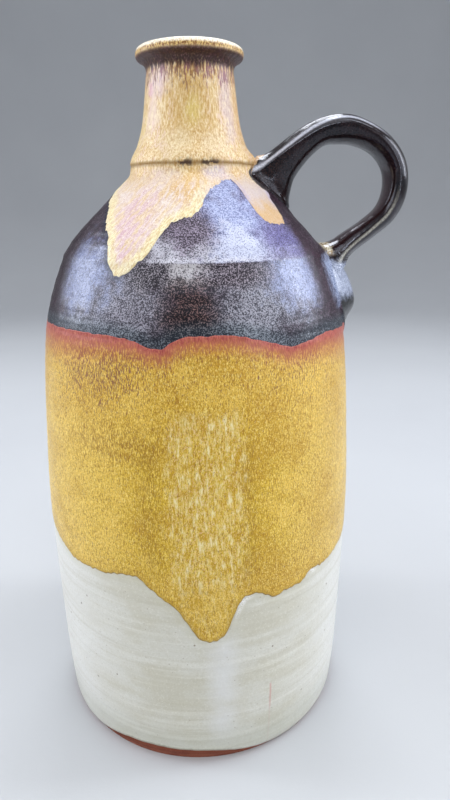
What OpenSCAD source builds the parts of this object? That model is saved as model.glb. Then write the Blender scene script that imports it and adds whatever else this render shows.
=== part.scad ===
// Stoneware jug thrown in sections, with a pulled loop handle and poured glazes.
// The origin is the middle of the flat base, and +Z runs up the axis of the jug.
// The front is the -Y side and the handle stands out along +X.

/* [Body] */
// Radius of the widest part of the wall
belly_r = 78.5; // [70:0.5:86]
// Height of the widest part of the wall
belly_h = 112; // [95:1:125]
// How far the edge of the foot lies inside the widest part
foot_in = 5.7; // [4.6:0.1:8]
// Height of the heel, where the foot has rounded into the wall
heel_h = 6; // [4:0.5:9]
// How far the heel lies inside the widest part
heel_in = 3.3; // [2:0.1:4.4]
// Height of the ridge where the shoulder joins the wall
seam_h = 239; // [210:1:260]
// How far that ridge lies inside the widest part
seam_in = 17.3; // [14:0.1:21]
// How far under the ridge the wall starts to turn in
knee_drop = 36; // [30:1:43]
// How far the wall has come in there
knee_in = 5.7; // [4:0.1:8]
// Thickness of the thrown wall
wall = 6; // [4:0.5:8]
// Thickness of the base
floor_t = 8; // [5:0.5:12]
// Radius of the inside corner between floor and wall
corner_r = 14; // [8:1:20]

/* [Shoulder] */
// Rise of the shoulder from the ridge to where the collar starts
shoulder_rise = 36; // [30:0.5:42]
// Radius of the collar
collar_r = 28; // [26:0.5:31]
// Height of the collar, up to the line where the neck stands on it
collar_rise = 3.5; // [2.8:0.1:6]
// How far the skirt of the neck stands out over the collar
skirt_lip = 0.5; // [0.2:0.1:1]

/* [Neck] */
// Radius of the neck where it leaves its skirt
flare_r = 24.6; // [23.5:0.2:26]
// Height of that place over the foot of the neck
flare_rise = 8.5; // [6:0.5:12]
// Radius of the slimmest part of the neck
throat_r = 19.1; // [18:0.1:21]
// Height of the slimmest part over the foot of the neck
throat_rise = 39; // [33:0.5:45]
// Radius of the rolled lip
lip_r = 23.6; // [21.5:0.1:26]
// Height of the outer face of the lip
lip_h = 4; // [3.2:0.1:6]
// Rise of the cove under the lip
cove_h = 5; // [4:0.1:7]
// Radius of the mouth bore that takes a cork
mouth_r = 15; // [13:0.5:16]
// Length of the true bore
mouth_len = 26; // [18:1:28]
// Width of the rounding where the mouth opens at the lip
mouth_round = 2.4; // [1.5:0.1:3]

/* [Handle] */
// How far the middle of the strap stands out beyond the widest part of the wall
handle_out = 18.4; // [15:0.2:24]
// Height of the middle of the strap's crown over the foot of the neck
handle_rise = 15.5; // [12:0.5:20]
// How far under the ridge the strap's lower end lies on the wall
handle_drop = 17; // [13.5:0.5:21]
// Width of the strap at its crown
strap_w = 23; // [18:0.5:28]
// Thickness of the strap at its crown
strap_t = 12.8; // [10:0.2:15.6]

/* [Thumbed pad] */
// Length of the clay pad under the strap
pad_len = 35; // [28:0.5:40]
// Width of the pad
pad_w = 27; // [22:0.5:32]
// How far the pad stands out from the wall
pad_t = 10.6; // [8:0.2:12.8]

/* [Glaze] */
// Thickness of the pale base glaze
base_coat = 0.4; // [0.3:0.1:0.8]
// Thickness of the amber glaze
amber_coat = 0.7; // [0.4:0.1:1.2]
// Thickness of the dark shoulder glaze
dark_coat = 0.6; // [0.4:0.1:1.2]
// Thickness of the tan neck glaze
neck_coat = 0.5; // [0.3:0.1:1]
// Thickness of the glaze that lines the inside
liner_coat = 0.5; // [0.3:0.1:1]
// Height of the bare clay band round the foot
bare_h = 3.2; // [2:0.2:5]
// Height of the lower edge of the amber glaze between its runs
amber_h = 104.5; // [85:0.5:124]
// Length of the longest amber run
amber_run = 31; // [15:1:40]
// How far under the ridge the dark glaze ends between its runs
dark_drop = 28; // [23:0.5:34]
// Length of the longest dark run
dark_run = 7; // [3:0.5:14]
// How far under the foot of the neck the tan glaze ends between its runs
tan_drop = 7; // [5.6:0.2:10]
// Length of the longest run of the neck glaze
tan_run = 36; // [20:1:45]

/* [Hidden] */

$fn = 96;
clay_colour = "#9a5a3c";
base_colour = "#cdcbbd";
amber_colour = "#c8973a";
dark_colour = "#2a1c1c";
tan_colour = "#c9a067";
liner_colour = "#8f8675";

// Overrun of every cut
over = 1;
// Longest step of the curves along the wall, the shoulder and the neck
wall_step = 6;
shoulder_step = 3;
neck_step = 2.6;
// Steps of the curves that round the heel, the lip, the mouth and the inside corners
heel_steps = 3;
round_steps = 5;

// Heights that follow from the named ones
knee_h = seam_h - knee_drop;
collar_h = seam_h + shoulder_rise;
neck_h = collar_h + collar_rise;
top_h = neck_h + throat_rise + cove_h + lip_h;
bore_low = top_h - mouth_round - mouth_len;
handle_top = neck_h + handle_rise;
handle_foot = seam_h - handle_drop;
dark_h = seam_h - dark_drop;
tan_h = neck_h - tan_drop;
handle_reach = belly_r + handle_out;

// How much wider the collar is where it leaves the shoulder
collar_lean = 0.5;

// Places between the named ones, as shares of the way up and of the way across
low_wall_shares = [0.37, 0.65];
high_wall_shares = [0.57, 0.38];
cone_shares = [0.76, 0.76];
skirt_shares = [0.3, 0.2];
neck_shares = [0.33, 0.53];

// Shares of the lip's height that its corners round off, and of the cove's that stays upright
lip_round_share = 0.3;
lip_crown_share = 0.5;
cove_upright_share = 0.3;
// Share of the flare where the inside of the neck turns up
throat_turn_share = 0.5;

// A place at the given shares of the way from station p to station q
function between(p, q, shares) = [for (i = [0, 1]) p[i] + shares[i] * (q[i] - p[i])];

heel = [heel_h, belly_r - heel_in];
belly = [belly_h, belly_r];
knee = [knee_h, belly_r - knee_in];
seam = [seam_h, belly_r - seam_in];
collar = [collar_h, collar_r + collar_lean];
skirt = [neck_h, collar_r + skirt_lip];
flare = [neck_h + flare_rise, flare_r];
throat = [neck_h + throat_rise, throat_r];

// Stations [height, radius] of the outside of the clay, up to the collar line
wall_stations = [
    [0, belly_r - foot_in],
    heel,
    between(heel, belly, low_wall_shares),
    belly,
    between(belly, knee, high_wall_shares),
    knee,
    seam,
    between(seam, collar, cone_shares),
    collar,
    [neck_h, collar_r]
];

// Stations of the outside of the neck, from its skirt up to its slimmest part
neck_stations = [
    skirt,
    between(skirt, flare, skirt_shares),
    flare,
    between(flare, throat, neck_shares),
    throat
];

// Slope of a smooth curve through the stations, level where the curve turns
function rise(s, i) = (s[i + 1][1] - s[i][1]) / (s[i + 1][0] - s[i][0]);
function slope(s, i) =
    i == 0 ? rise(s, 0) :
    i == len(s) - 1 ? rise(s, i - 1) :
    rise(s, i - 1) * rise(s, i) <= 0 ? 0 :
    2 * rise(s, i - 1) * rise(s, i) / (rise(s, i - 1) + rise(s, i));

// Radius at height h of the smooth curve through the stations
function curve_r(s, h, i = 0) =
    i < len(s) - 2 && h > s[i + 1][0] ? curve_r(s, h, i + 1) :
    let (d = s[i + 1][0] - s[i][0], t = (h - s[i][0]) / d)
    s[i][1] * (1 + 2 * t) * (1 - t) * (1 - t) + s[i + 1][1] * t * t * (3 - 2 * t)
    + d * slope(s, i) * t * (1 - t) * (1 - t) - d * slope(s, i + 1) * t * t * (1 - t);
function wall_r(h) = curve_r(wall_stations, h);

// Points [radius, height] of the curve between two heights
function line(s, low, high, step) =
    let (n = max(2, ceil((high - low) / step)))
    [for (i = [0:n]) let (h = low + (high - low) * i / n) [curve_r(s, h), h]];

// Parts of a line of points
function last(p) = p[len(p) - 1];
function tail(p) = [for (i = [1:len(p) - 1]) p[i]];
function head(p) = [for (i = [0:len(p) - 2]) p[i]];
function reversed(p) = [for (i = [len(p) - 1:-1:0]) p[i]];

// A line of points moved out, to its right, by a distance
function unit(v) = v / norm(v);
function normal(p, i) =
    let (t = unit(p[min(i + 1, len(p) - 1)] - p[max(i - 1, 0)])) [t[1], -t[0]];
function moved(p, distance) = [for (i = [0:len(p) - 1]) p[i] + distance * normal(p, i)];

// The part of a rising line that lies between two heights
function at_height(a, b, h) = a + (b - a) * (h - a[1]) / (b[1] - a[1]);
function stretch(p, low, high) = [
    for (i = [0:len(p) - 1]) each [
        if (i > 0 && p[i - 1][1] < low && low < p[i][1]) at_height(p[i - 1], p[i], low),
        if (low <= p[i][1] && p[i][1] <= high) p[i],
        if (i < len(p) - 1 && p[i][1] < high && high < p[i + 1][1]) at_height(p[i], p[i + 1], high)
    ]
];

// Points of a curve that leaves a for b and arrives at c
function bend(a, b, c, n) =
    [for (i = [0:n]) let (t = i / n) (1 - t) * (1 - t) * a + 2 * t * (1 - t) * b + t * t * c];

// Outside of the clay: the foot and wall, the shoulder, and the neck
body_line = concat(
    line(wall_stations, 0, heel_h, heel_h / heel_steps),
    tail(line(wall_stations, heel_h, seam_h, wall_step))
);
shoulder_line = line(wall_stations, seam_h, neck_h, shoulder_step);
neck_line = line(neck_stations, neck_h, neck_h + throat_rise, neck_step);

clay_line = concat(body_line, tail(shoulder_line));

// The cove under the lip, the rolled lip, and the rounding into the mouth
lip_round = lip_h * lip_round_share;
lip_crown = lip_h * lip_crown_share;
lip_low = top_h - lip_h;
cove_turn = [throat_r, lip_low - cove_h * cove_upright_share];
cove_top = [lip_r - lip_round, lip_low];
lip_line = concat(
    bend([throat_r, lip_low - cove_h], cove_turn, cove_top, round_steps),
    tail(bend(cove_top, [lip_r, lip_low], [lip_r, lip_low + lip_round], round_steps)),
    bend([lip_r, top_h - lip_crown], [lip_r, top_h], [lip_r - lip_crown, top_h], round_steps)
);
mouth_line = bend(
    [mouth_r + mouth_round, top_h], [mouth_r, top_h], [mouth_r, top_h - mouth_round], round_steps
);

// Inside of the clay, from the middle of the floor up to the bore
wall_inside = [for (p = moved(body_line, -wall)) if (p[1] > floor_t + corner_r) p];
corner_x = wall_inside[0][0];
body_inside = concat(
    [[0, floor_t]],
    bend(
        [corner_x - corner_r, floor_t], [corner_x, floor_t], [corner_x, floor_t + corner_r], round_steps
    ),
    tail(wall_inside)
);
shoulder_inside = concat(
    [last(body_inside)],
    tail(head(moved(line(wall_stations, seam_h, collar_h, shoulder_step), -wall))),
    [[collar_r - wall, neck_h]]
);
neck_inside = bend(
    [collar_r - wall, neck_h],
    [mouth_r, neck_h + flare_rise * throat_turn_share],
    [mouth_r, bore_low],
    round_steps
);

// Lower wall and floor, thrown in one
module body() {
    color(clay_colour)
    rotate_extrude()
    polygon(concat([[0, 0]], body_line, reversed(body_inside)));
}

// Shoulder and collar, luted on at the ridge
module shoulder() {
    color(clay_colour)
    rotate_extrude()
    polygon(concat(shoulder_line, reversed(shoulder_inside)));
}

// Neck with its skirt, cove and rolled lip
module neck() {
    color(clay_colour)
    rotate_extrude()
    polygon(concat(neck_line, tail(lip_line), mouth_line, reversed(neck_inside)));
}

// All that the outside of the clay encloses, which handle and pad are seated on
module clay_core() {
    rotate_extrude()
    polygon(concat(
        [[0, 0]], clay_line, neck_line, tail(lip_line), mouth_line, [[0, top_h]]
    ));
}

// Solid skin over closed rings of points, capped at both ends
module loft(rings) {
    n = len(rings[0]);
    m = len(rings);
    points = [for (ring = rings) each ring];
    sides = [for (i = [0:m - 2], j = [0:n - 1])
        let (a = i * n + j, b = i * n + (j + 1) % n)
        each [[a, b + n, b], [a, a + n, b + n]]];
    caps = [[for (j = [0:n - 1]) j], [for (j = [n - 1:-1:0]) (m - 1) * n + j]];
    polyhedron(points, concat(sides, caps));
}

// The strap leaves the neck and shoulder at a flared root, loops over and comes down on the wall.
// Each place gives shares: of the reach, of the height, of the width, of the thickness, and how much
// of the thickness lies outside the strap's edges. The reach is measured from the collar on the way
// out, and from the wall on the way back.
strap_out_shares = [
    [-0.1, 0.5, 1.3, 3.1, 0.19],
    [0.05, 0.58, 1.28, 2.3, 0.12],
    [0.2, 0.78, 1.17, 1.34, 0.27],
    [0.42, 0.96, 1.04, 0.96, 0.44],
    [0.61, 1, 1, 1, 0.4],
    [0.78, 0.96, 1, 0.87, 0.42],
    [0.91, 0.88, 1, 0.82, 0.44],
    [0.99, 0.76, 0.98, 0.81, 0.43],
    [1, 0.61, 0.94, 0.81, 0.43]
];
strap_back_shares = [
    [0.86, 0.48, 0.89, 0.76, 0.48],
    [0.6, 0.38, 0.86, 0.62, 0.5],
    [0.34, 0.3, 0.86, 0.56, 0.5],
    [0.15, 0.23, 0.9, 0.66, 0.5],
    [0.05, 0.14, 0.95, 0.77, 0.5],
    [0, -0.03, 0.95, 0.76, 0.5]
];
strap_span_steps = 3;
strap_sides = 20;

// A smooth line through rows of values, at step k of every span
function smooth(rows, i, t) =
    let (a = rows[max(i - 1, 0)], b = rows[i], c = rows[i + 1], d = rows[min(i + 2, len(rows) - 1)])
    0.5 * (2 * b + (c - a) * t + (2 * a - 5 * b + 4 * c - d) * t * t
        + (3 * b - a - 3 * c + d) * t * t * t);
strap_seat_r = wall_r(handle_foot);
function strap_place(s, from_r) = [
    from_r + s[0] * (handle_reach - from_r),
    handle_foot + s[1] * (handle_top - handle_foot),
    strap_w * s[2],
    strap_t * s[3],
    s[4]
];
strap_places = [
    for (s = strap_out_shares) strap_place(s, collar_r),
    for (s = strap_back_shares) strap_place(s, strap_seat_r)
];
strap_rows = [
    for (i = [0:len(strap_places) - 2], k = [0:strap_span_steps - 1])
        smooth(strap_places, i, k / strap_span_steps),
    last(strap_places)
];
strap_path = [for (s = strap_rows) [s[0], s[1]]];

// Ring of the strap at place i: flatter outside its edges, deeper inside
function strap_ring(i) =
    let (
        p = strap_path[i],
        s = strap_rows[i],
        out = -normal(strap_path, i),
        t = s[3],
        edge = t / 2 - t * s[4]
    )
    [for (k = [0:strap_sides - 1])
        let (
            a = 360 * k / strap_sides,
            depth = edge + t * sin(a) * (sin(a) > 0 ? s[4] : 1 - s[4])
        )
        [p[0] + depth * out[0], s[2] / 2 * cos(a), p[1] + depth * out[1]]];

module strap() {
    loft([for (i = [0:len(strap_path) - 1]) strap_ring(i)]);
}

// Pulled handle, seated on the neck, the shoulder and the wall
module handle() {
    color(dark_colour)
    difference() {
        strap();
        clay_core();
    }
}

// Depth and width of the pad down its height, as shares of the largest
pad_shares = [
    [0, 0.2, 0.3],
    [0.06, 0.45, 0.5],
    [0.15, 0.78, 0.72],
    [0.24, 0.93, 0.84],
    [0.34, 0.98, 0.93],
    [0.45, 1, 1],
    [0.56, 0.97, 1],
    [0.66, 0.86, 0.93],
    [0.74, 0.68, 0.85],
    [0.82, 0.43, 0.74],
    [0.9, 0.24, 0.6],
    [1, 0.06, 0.35]
];
// Share of the pad that reaches above the strap's lower end
pad_up_share = 0.4;
pad_top = handle_foot + pad_len * pad_up_share;
pad_sides = 24;
// How deep the pad's rings reach into the wall before they are cut
pad_sink = 4;

function pad_ring(s) =
    let (h = pad_top - s[0] * pad_len, middle = wall_r(h) - pad_sink)
    [for (k = [0:pad_sides - 1])
        let (a = 360 * k / pad_sides)
        [middle + (pad_sink + pad_t * s[1]) * cos(a), pad_w * s[2] / 2 * sin(a), h]];

module pad() {
    loft([for (s = reversed(pad_shares)) pad_ring(s)]);
}

// Lump of clay thumbed on under the end of the strap
module handle_pad() {
    color(dark_colour)
    difference() {
        pad();
        strap();
        clay_core();
    }
}

// Coat of glaze over a line of the clay's outside
module coat(p, thickness) {
    rotate_extrude()
    polygon(concat(p, reversed(moved(p, thickness))));
}

// How far below the longest run a coat's strip starts, before its edge is cut, as a share of that run
run_reserve = 1.25;

// Glaze runs: azimuth from the front towards the handle side, half width in degrees,
// and length as a share of the longest run of that glaze
amber_run_shares = [
    [2.6, 9, 0.74], [15, 32, 0.26], [27, 8, 0.16], [56, 13, 0.22], [-48, 13, 0.07],
    [104, 11, 0.5], [132, 16, 0.25], [168, 9, 0.65], [184, 24, 0.2], [222, 12, 0.4], [250, 14, 0.2]
];
dark_run_shares = [
    [-12, 8, 0.5], [31, 12, 0.8], [72, 16, 0.75], [-52, 14, 0.1],
    [118, 12, 0.6], [150, 9, 1], [200, 18, 0.5], [238, 12, 0.8]
];
tan_run_shares = [
    [-27, 11, 0.54], [-42, 24, 0.55], [-4, 12, 0.36], [46, 12, 0.53],
    [112, 11, 0.5], [135, 18, 0.3], [170, 12, 0.85], [205, 16, 0.35], [236, 11, 0.6]
];

// How far all the runs of a glaze reach down at azimuth a
function turned(a) = (a % 360 + 540) % 360 - 180;
function runs(a, shares, i = 0) =
    i == len(shares) ? 0 :
    shares[i][2] * exp(-pow(abs(turned(a - shares[i][0])) / shares[i][1], 3)) + runs(a, shares, i + 1);
amber_edge = function (a) amber_h - amber_run * runs(a, amber_run_shares);
dark_edge = function (a) dark_h - dark_run * runs(a, dark_run_shares);
tan_edge = function (a) tan_h - tan_run * runs(a, tan_run_shares);
below_foot = function (a) -over;
above_lip = function (a) top_h + over;

band_steps = 90;
// The bands reach from well inside the bore to beyond the pad
band_inside_share = 0.33;
band_inside = mouth_r * band_inside_share;
band_outside = belly_r + pad_t;

// Ring-shaped solid between two wavy edges, which keeps a coat between them
module band(lower, upper) {
    loft_ring([for (i = [0:band_steps - 1])
        let (a = 360 * i / band_steps, x = sin(a), y = -cos(a))
        [
            [band_inside * x, band_inside * y, lower(a)],
            [band_outside * x, band_outside * y, lower(a)],
            [band_outside * x, band_outside * y, upper(a)],
            [band_inside * x, band_inside * y, upper(a)]
        ]]);
}

// Solid skin over rings that close on themselves. Its upper and lower faces are split alike,
// so two bands that share an edge meet without a gap.
module loft_ring(rings) {
    n = len(rings[0]);
    m = len(rings);
    points = [for (ring = rings) each ring];
    sides = [for (i = [0:m - 1], j = [0:n - 1])
        let (
            k = (j + 1) % n,
            a = i * n + j,
            b = i * n + k,
            c = ((i + 1) % m) * n
        )
        each (j < n / 2 ? [[a, b, c + k], [a, c + k, c + j]] : [[a, b, c + j], [b, c + k, c + j]])];
    polyhedron(points, sides);
}

// Pale glaze over the foot half of the wall
module base_glaze() {
    color(base_colour)
    intersection() {
        coat(stretch(clay_line, bare_h, amber_h), base_coat);
        band(below_foot, amber_edge);
    }
}

// Amber glaze round the middle, running down over the pale one
module amber_glaze() {
    color(amber_colour)
    difference() {
        intersection() {
            coat(stretch(clay_line, amber_h - amber_run * run_reserve, dark_h), amber_coat);
            band(amber_edge, dark_edge);
        }
        pad();
    }
}

// Dark glaze over the shoulder, round the feet of the handle
module dark_glaze() {
    color(dark_colour)
    difference() {
        intersection() {
            coat(stretch(clay_line, dark_h - dark_run * run_reserve, neck_h), dark_coat);
            band(dark_edge, tan_edge);
        }
        strap();
        pad();
    }
}

// Tan glaze over lip, neck and collar, running down over the shoulder
module neck_glaze() {
    color(tan_colour)
    difference() {
        intersection() {
            coat(concat(
                stretch(clay_line, tan_h - tan_run * run_reserve, neck_h),
                neck_line, tail(lip_line), head(head(head(mouth_line)))
            ), neck_coat);
            band(tan_edge, above_lip);
        }
        strap();
    }
}

// Glaze swilled round the inside, up to the bore
module liner_glaze() {
    inside = concat(body_inside, tail(shoulder_inside), tail(neck_inside));
    color(liner_colour)
    rotate_extrude()
    polygon(concat(inside, reversed(moved(inside, -liner_coat))));
}

body();
shoulder();
neck();
handle();
handle_pad();
base_glaze();
amber_glaze();
dark_glaze();
neck_glaze();
liner_glaze();
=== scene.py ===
import math

import bpy
import numpy as np
from mathutils import Euler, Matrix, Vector
from mathutils.bvhtree import BVHTree


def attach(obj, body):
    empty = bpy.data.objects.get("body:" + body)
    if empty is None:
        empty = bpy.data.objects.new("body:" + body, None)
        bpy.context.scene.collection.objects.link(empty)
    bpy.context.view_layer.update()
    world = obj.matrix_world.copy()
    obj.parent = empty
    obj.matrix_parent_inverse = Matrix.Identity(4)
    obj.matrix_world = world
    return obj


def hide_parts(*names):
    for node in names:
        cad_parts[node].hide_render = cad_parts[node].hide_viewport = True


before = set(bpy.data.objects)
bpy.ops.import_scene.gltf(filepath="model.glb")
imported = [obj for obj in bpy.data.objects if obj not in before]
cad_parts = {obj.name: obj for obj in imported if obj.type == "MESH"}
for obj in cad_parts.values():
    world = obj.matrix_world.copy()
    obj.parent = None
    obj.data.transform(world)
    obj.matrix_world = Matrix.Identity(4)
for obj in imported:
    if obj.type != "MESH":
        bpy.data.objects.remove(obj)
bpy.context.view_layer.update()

# Sizes are in millimetres, as in the part's source, and become metres when a mesh is made
MM = 0.001

# Clay
BELLY_R, BELLY_H = 78.5, 112
FOOT_IN, HEEL_IN, HEEL_H = 5.7, 3.3, 6
SEAM_IN, SEAM_H = 17.3, 239
KNEE_IN, KNEE_DROP = 5.7, 36
SHOULDER_RISE = 36
COLLAR_R, COLLAR_RISE, COLLAR_LEAN = 28, 3.5, 0.5
SKIRT_LIP = 0.5
FLARE_R, FLARE_RISE = 24.6, 8.5
THROAT_R, THROAT_RISE = 19.1, 39
LIP_R, LIP_H, COVE_H = 23.6, 4, 5
LIP_ROUND, LIP_CROWN, COVE_UPRIGHT = 0.3 * LIP_H, 0.5 * LIP_H, 0.3 * COVE_H
MOUTH_R, MOUTH_ROUND = 15, 2.4
COLLAR_H = SEAM_H + SHOULDER_RISE
NECK_H = COLLAR_H + COLLAR_RISE
THROAT_H = NECK_H + THROAT_RISE
TOP_H = THROAT_H + COVE_H + LIP_H

# Strap handle and its pad
HANDLE_REACH = BELLY_R + 18.4
HANDLE_TOP = NECK_H + 15.5
HANDLE_FOOT = SEAM_H - 17
STRAP_W, STRAP_T = 23, 12.8
# The pad's width takes in the clay smeared out from its sides
PAD_LEN, PAD_SPREAD, PAD_T = 35, 42, 10.6
PAD_TOP = HANDLE_FOOT + 0.4 * PAD_LEN

# Glaze
BASE_COAT, AMBER_COAT, DARK_COAT, TAN_COAT = 0.4, 0.68, 0.6, 0.55
# Height, distance from the edge and width of the thick roll along each coat's lower edge
BASE_ROLL, AMBER_ROLL, TAN_ROLL = (0.14, 1.3, 0.9), (0.3, 1.5, 1.2), (0.16, 1.3, 1.1)
# No relief goes outside the coats of the solid model
OUTSIDE_R, OUTSIDE_H = BELLY_R + 0.69, TOP_H + 0.49
# Lift of the glaze over the ridge at the seam, depth of the groove under the neck, and their half widths
RIDGE, GROOVE = (0.3, 1.8), (0.35, 0.5)
# The amber's middle run: its azimuth and half width, the height where it thickens, and by how much
RUN_AT, RUN_HALF_WIDTH, RUN_H, RUN_SWELL = 3, 9, 96, 0.25
# Throwing rings, low and fine: height and spacing
LOW_RINGS, FINE_RINGS = (0.05, 7.3), (0.025, 3.1)

# Stations of each glaze's lower edge across the front: azimuth towards the handle in degrees, height
AMBER_FRONT = [
    (-75, 111), (-60, 106), (-47, 102.5), (-36, 103), (-27, 105), (-22, 105.5), (-18, 102), (-13, 96),
    (-8, 90), (-4, 81), (-1, 75), (2.5, 73.4), (6.5, 75), (8.5, 80), (10, 86), (14, 95.5), (18, 96),
    (25, 91), (29, 93), (35, 93), (41, 97), (50, 96), (60, 97.5), (70, 99.5), (76, 105),
]
DARK_FRONT = [
    (-75, 210), (-54, 211), (-34, 211.3), (-21, 210), (-14, 207.2), (-11, 207.2), (-7, 210), (-2, 212),
    (9, 212), (18, 210), (26, 207.3), (32, 205), (39, 205.8), (52, 207.4), (76, 205.2),
]
TAN_FRONT = [
    (-82, 268), (-70, 263), (-60, 260), (-52, 256), (-46, 251.5), (-41, 249), (-38, 245), (-35, 240),
    (-32, 235.5), (-29.5, 233.5), (-26, 234.5), (-23, 237.5), (-19, 241), (-16, 246), (-14, 249.5),
    (-10, 253.8), (-5, 255.6), (-1, 256), (2, 258), (5, 260), (7, 263.5), (12, 267), (19, 269),
    (26, 271), (31, 271), (34, 268), (35.3, 262), (36.2, 257), (38, 254), (42, 253), (50, 252.4),
    (54, 255), (58, 260), (62, 264), (70, 267), (80, 268),
]
FOOT_FRONT = [
    (-60, 3), (-44, 4.2), (-34, 6.4), (-28, 7.4), (-20, 7.7), (-12, 7.5), (-2, 7.2), (6, 6.2),
    (12, 4.8), (18, 3), (30, 1.6), (60, 2.4),
]
# Runs of each glaze round the back: azimuth, half width in degrees, and drop
AMBER_RUNS = [(104, 11, 15.5), (132, 16, 8), (168, 9, 20), (184, 24, 6), (222, 12, 12.5), (250, 14, 6)]
DARK_RUNS = [(92, 15, 10), (124, 12, 4), (150, 9, 7), (200, 18, 3.5), (238, 12, 5.5)]
TAN_RUNS = [(112, 11, 18), (135, 18, 11), (170, 12, 30.5), (205, 16, 12.5), (236, 11, 21.5)]
AMBER_H, DARK_H, TAN_H, FOOT_H = 104.5, SEAM_H - 28, NECK_H - 7, 3.2

COLUMNS = 720
AZIMUTH = np.arange(COLUMNS) * 360 / COLUMNS - 180


# Curves

def slopes(s):
    """Slopes of the smooth curve through stations, level where it turns."""
    rise = np.diff(s[:, 1]) / np.diff(s[:, 0])
    inner = [0 if a * b <= 0 else 2 * a * b / (a + b) for a, b in zip(rise[:-1], rise[1:])]
    return np.array([rise[0], *inner, rise[-1]])


def curve(stations, at):
    """Values of the smooth curve through (place, value) stations."""
    s = np.array(stations, float)
    m = slopes(s)
    at = np.asarray(at, float)
    i = np.clip(np.searchsorted(s[:, 0], at) - 1, 0, len(s) - 2)
    d = s[i + 1, 0] - s[i, 0]
    t = np.clip((at - s[i, 0]) / d, 0, 1)
    u = 1 - t
    return (s[i, 1] * (1 + 2 * t) * u * u + s[i + 1, 1] * t * t * (3 - 2 * t)
            + d * m[i] * t * u * u - d * m[i + 1] * t * t * u)


def between(p, q, along, across):
    return (p[0] + along * (q[0] - p[0]), p[1] + across * (q[1] - p[1]))


def bend(a, b, c, n=12):
    """Points of a curve that leaves a for b and arrives at c."""
    t = np.linspace(0, 1, n)[:, None]
    a, b, c = (np.array(p, float) for p in (a, b, c))
    return (1 - t) ** 2 * a + 2 * t * (1 - t) * b + t * t * c


def ease(x, low, high):
    """0 below low, 1 above high, smooth between."""
    t = np.clip((np.asarray(x, float) - low) / (high - low), 0, 1)
    return t * t * (3 - 2 * t)


HEEL = (HEEL_H, BELLY_R - HEEL_IN)
BELLY = (BELLY_H, BELLY_R)
KNEE = (SEAM_H - KNEE_DROP, BELLY_R - KNEE_IN)
SEAM = (SEAM_H, BELLY_R - SEAM_IN)
COLLAR = (COLLAR_H, COLLAR_R + COLLAR_LEAN)
WALL = [
    (0, BELLY_R - FOOT_IN), HEEL, between(HEEL, BELLY, 0.37, 0.65), BELLY,
    between(BELLY, KNEE, 0.57, 0.38), KNEE, SEAM, between(SEAM, COLLAR, 0.76, 0.76), COLLAR,
    (NECK_H, COLLAR_R),
]
SKIRT = (NECK_H, COLLAR_R + SKIRT_LIP)
FLARE = (NECK_H + FLARE_RISE, FLARE_R)
THROAT = (THROAT_H, THROAT_R)
NECK = [SKIRT, between(SKIRT, FLARE, 0.3, 0.2), FLARE, between(FLARE, THROAT, 0.33, 0.53), THROAT]


def clay_r(h):
    """Radius of the outside of the clay at height h, lip left out."""
    h = np.asarray(h, float)
    return np.where(h < NECK_H, curve(WALL, np.minimum(h, NECK_H)), curve(NECK, np.maximum(h, NECK_H)))


def clay_outline():
    """Points (radius, height) up the outside of the clay, over the lip and into the mouth."""
    wall_h = np.arange(0, NECK_H, 0.5)
    neck_h = np.arange(NECK_H, THROAT_H, 0.5)
    lip_low = TOP_H - LIP_H
    cove_top = (LIP_R - LIP_ROUND, lip_low)
    parts = [
        np.stack([curve(WALL, wall_h), wall_h], -1),
        np.stack([curve(NECK, neck_h), neck_h], -1),
        bend((THROAT_R, lip_low - COVE_H), (THROAT_R, lip_low - COVE_UPRIGHT), cove_top),
        bend(cove_top, (LIP_R, lip_low), (LIP_R, lip_low + LIP_ROUND), 6)[1:],
        bend((LIP_R, TOP_H - LIP_CROWN), (LIP_R, TOP_H), (LIP_R - LIP_CROWN, TOP_H)),
        bend((MOUTH_R + MOUTH_ROUND, TOP_H), (MOUTH_R, TOP_H), (MOUTH_R, TOP_H - MOUTH_ROUND)),
    ]
    return np.concatenate(parts)


def resampled(points, step):
    """The same line with even steps, and the length along it."""
    length = np.concatenate([[0], np.cumsum(np.hypot(*np.diff(points, axis=0).T))])
    at = np.arange(0, length[-1], step)
    return np.stack([np.interp(at, length, points[:, k]) for k in (0, 1)], -1), at


def softened(line, half_width):
    """Line with its corners rounded as glaze rounds them."""
    reach = int(half_width * 3)
    weights = np.exp(-0.5 * (np.arange(-reach, reach + 1) / half_width) ** 2)
    weights /= weights.sum()
    padded = np.concatenate([
        2 * line[0] - line[reach:0:-1], line, 2 * line[-1] - line[-2:-reach - 2:-1]
    ])
    return np.stack([np.convolve(padded[:, k], weights, "valid") for k in (0, 1)], -1)


LINE_STEP = 0.1
CLAY_LINE, LENGTH = resampled(clay_outline(), LINE_STEP)
SOFT_LINE = softened(CLAY_LINE, 5)
TANGENT = np.gradient(SOFT_LINE, axis=0)
TANGENT /= np.hypot(*TANGENT.T)[:, None]
NORMAL = np.stack([TANGENT[:, 1], -TANGENT[:, 0]], -1)
# Count of the line's points up to the foot of the neck, where it only climbs
CLIMB = int(np.searchsorted(CLAY_LINE[:, 1], NECK_H))


def length_at(h):
    return np.interp(h, CLAY_LINE[:CLIMB, 1], LENGTH[:CLIMB])


def on_line(values, length):
    return np.interp(length, LENGTH, values)


# Edges of the glazes, as lengths along the outline for every column

# Counts of waves round the jug for a calm and for a ragged edge
CALM, RAGGED = (19, 31, 47, 73, 101), (23, 41, 67, 97, 131, 173)


def waves(az, size, seed, counts):
    """Small uneven waves round the jug."""
    draw = np.random.default_rng(seed)
    total = np.zeros_like(az, dtype=float)
    for n in counts:
        total += np.sin(np.radians(az) * n + draw.uniform(0, 2 * math.pi)) * draw.uniform(0.5, 1)
    return size * total / len(counts)


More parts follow.
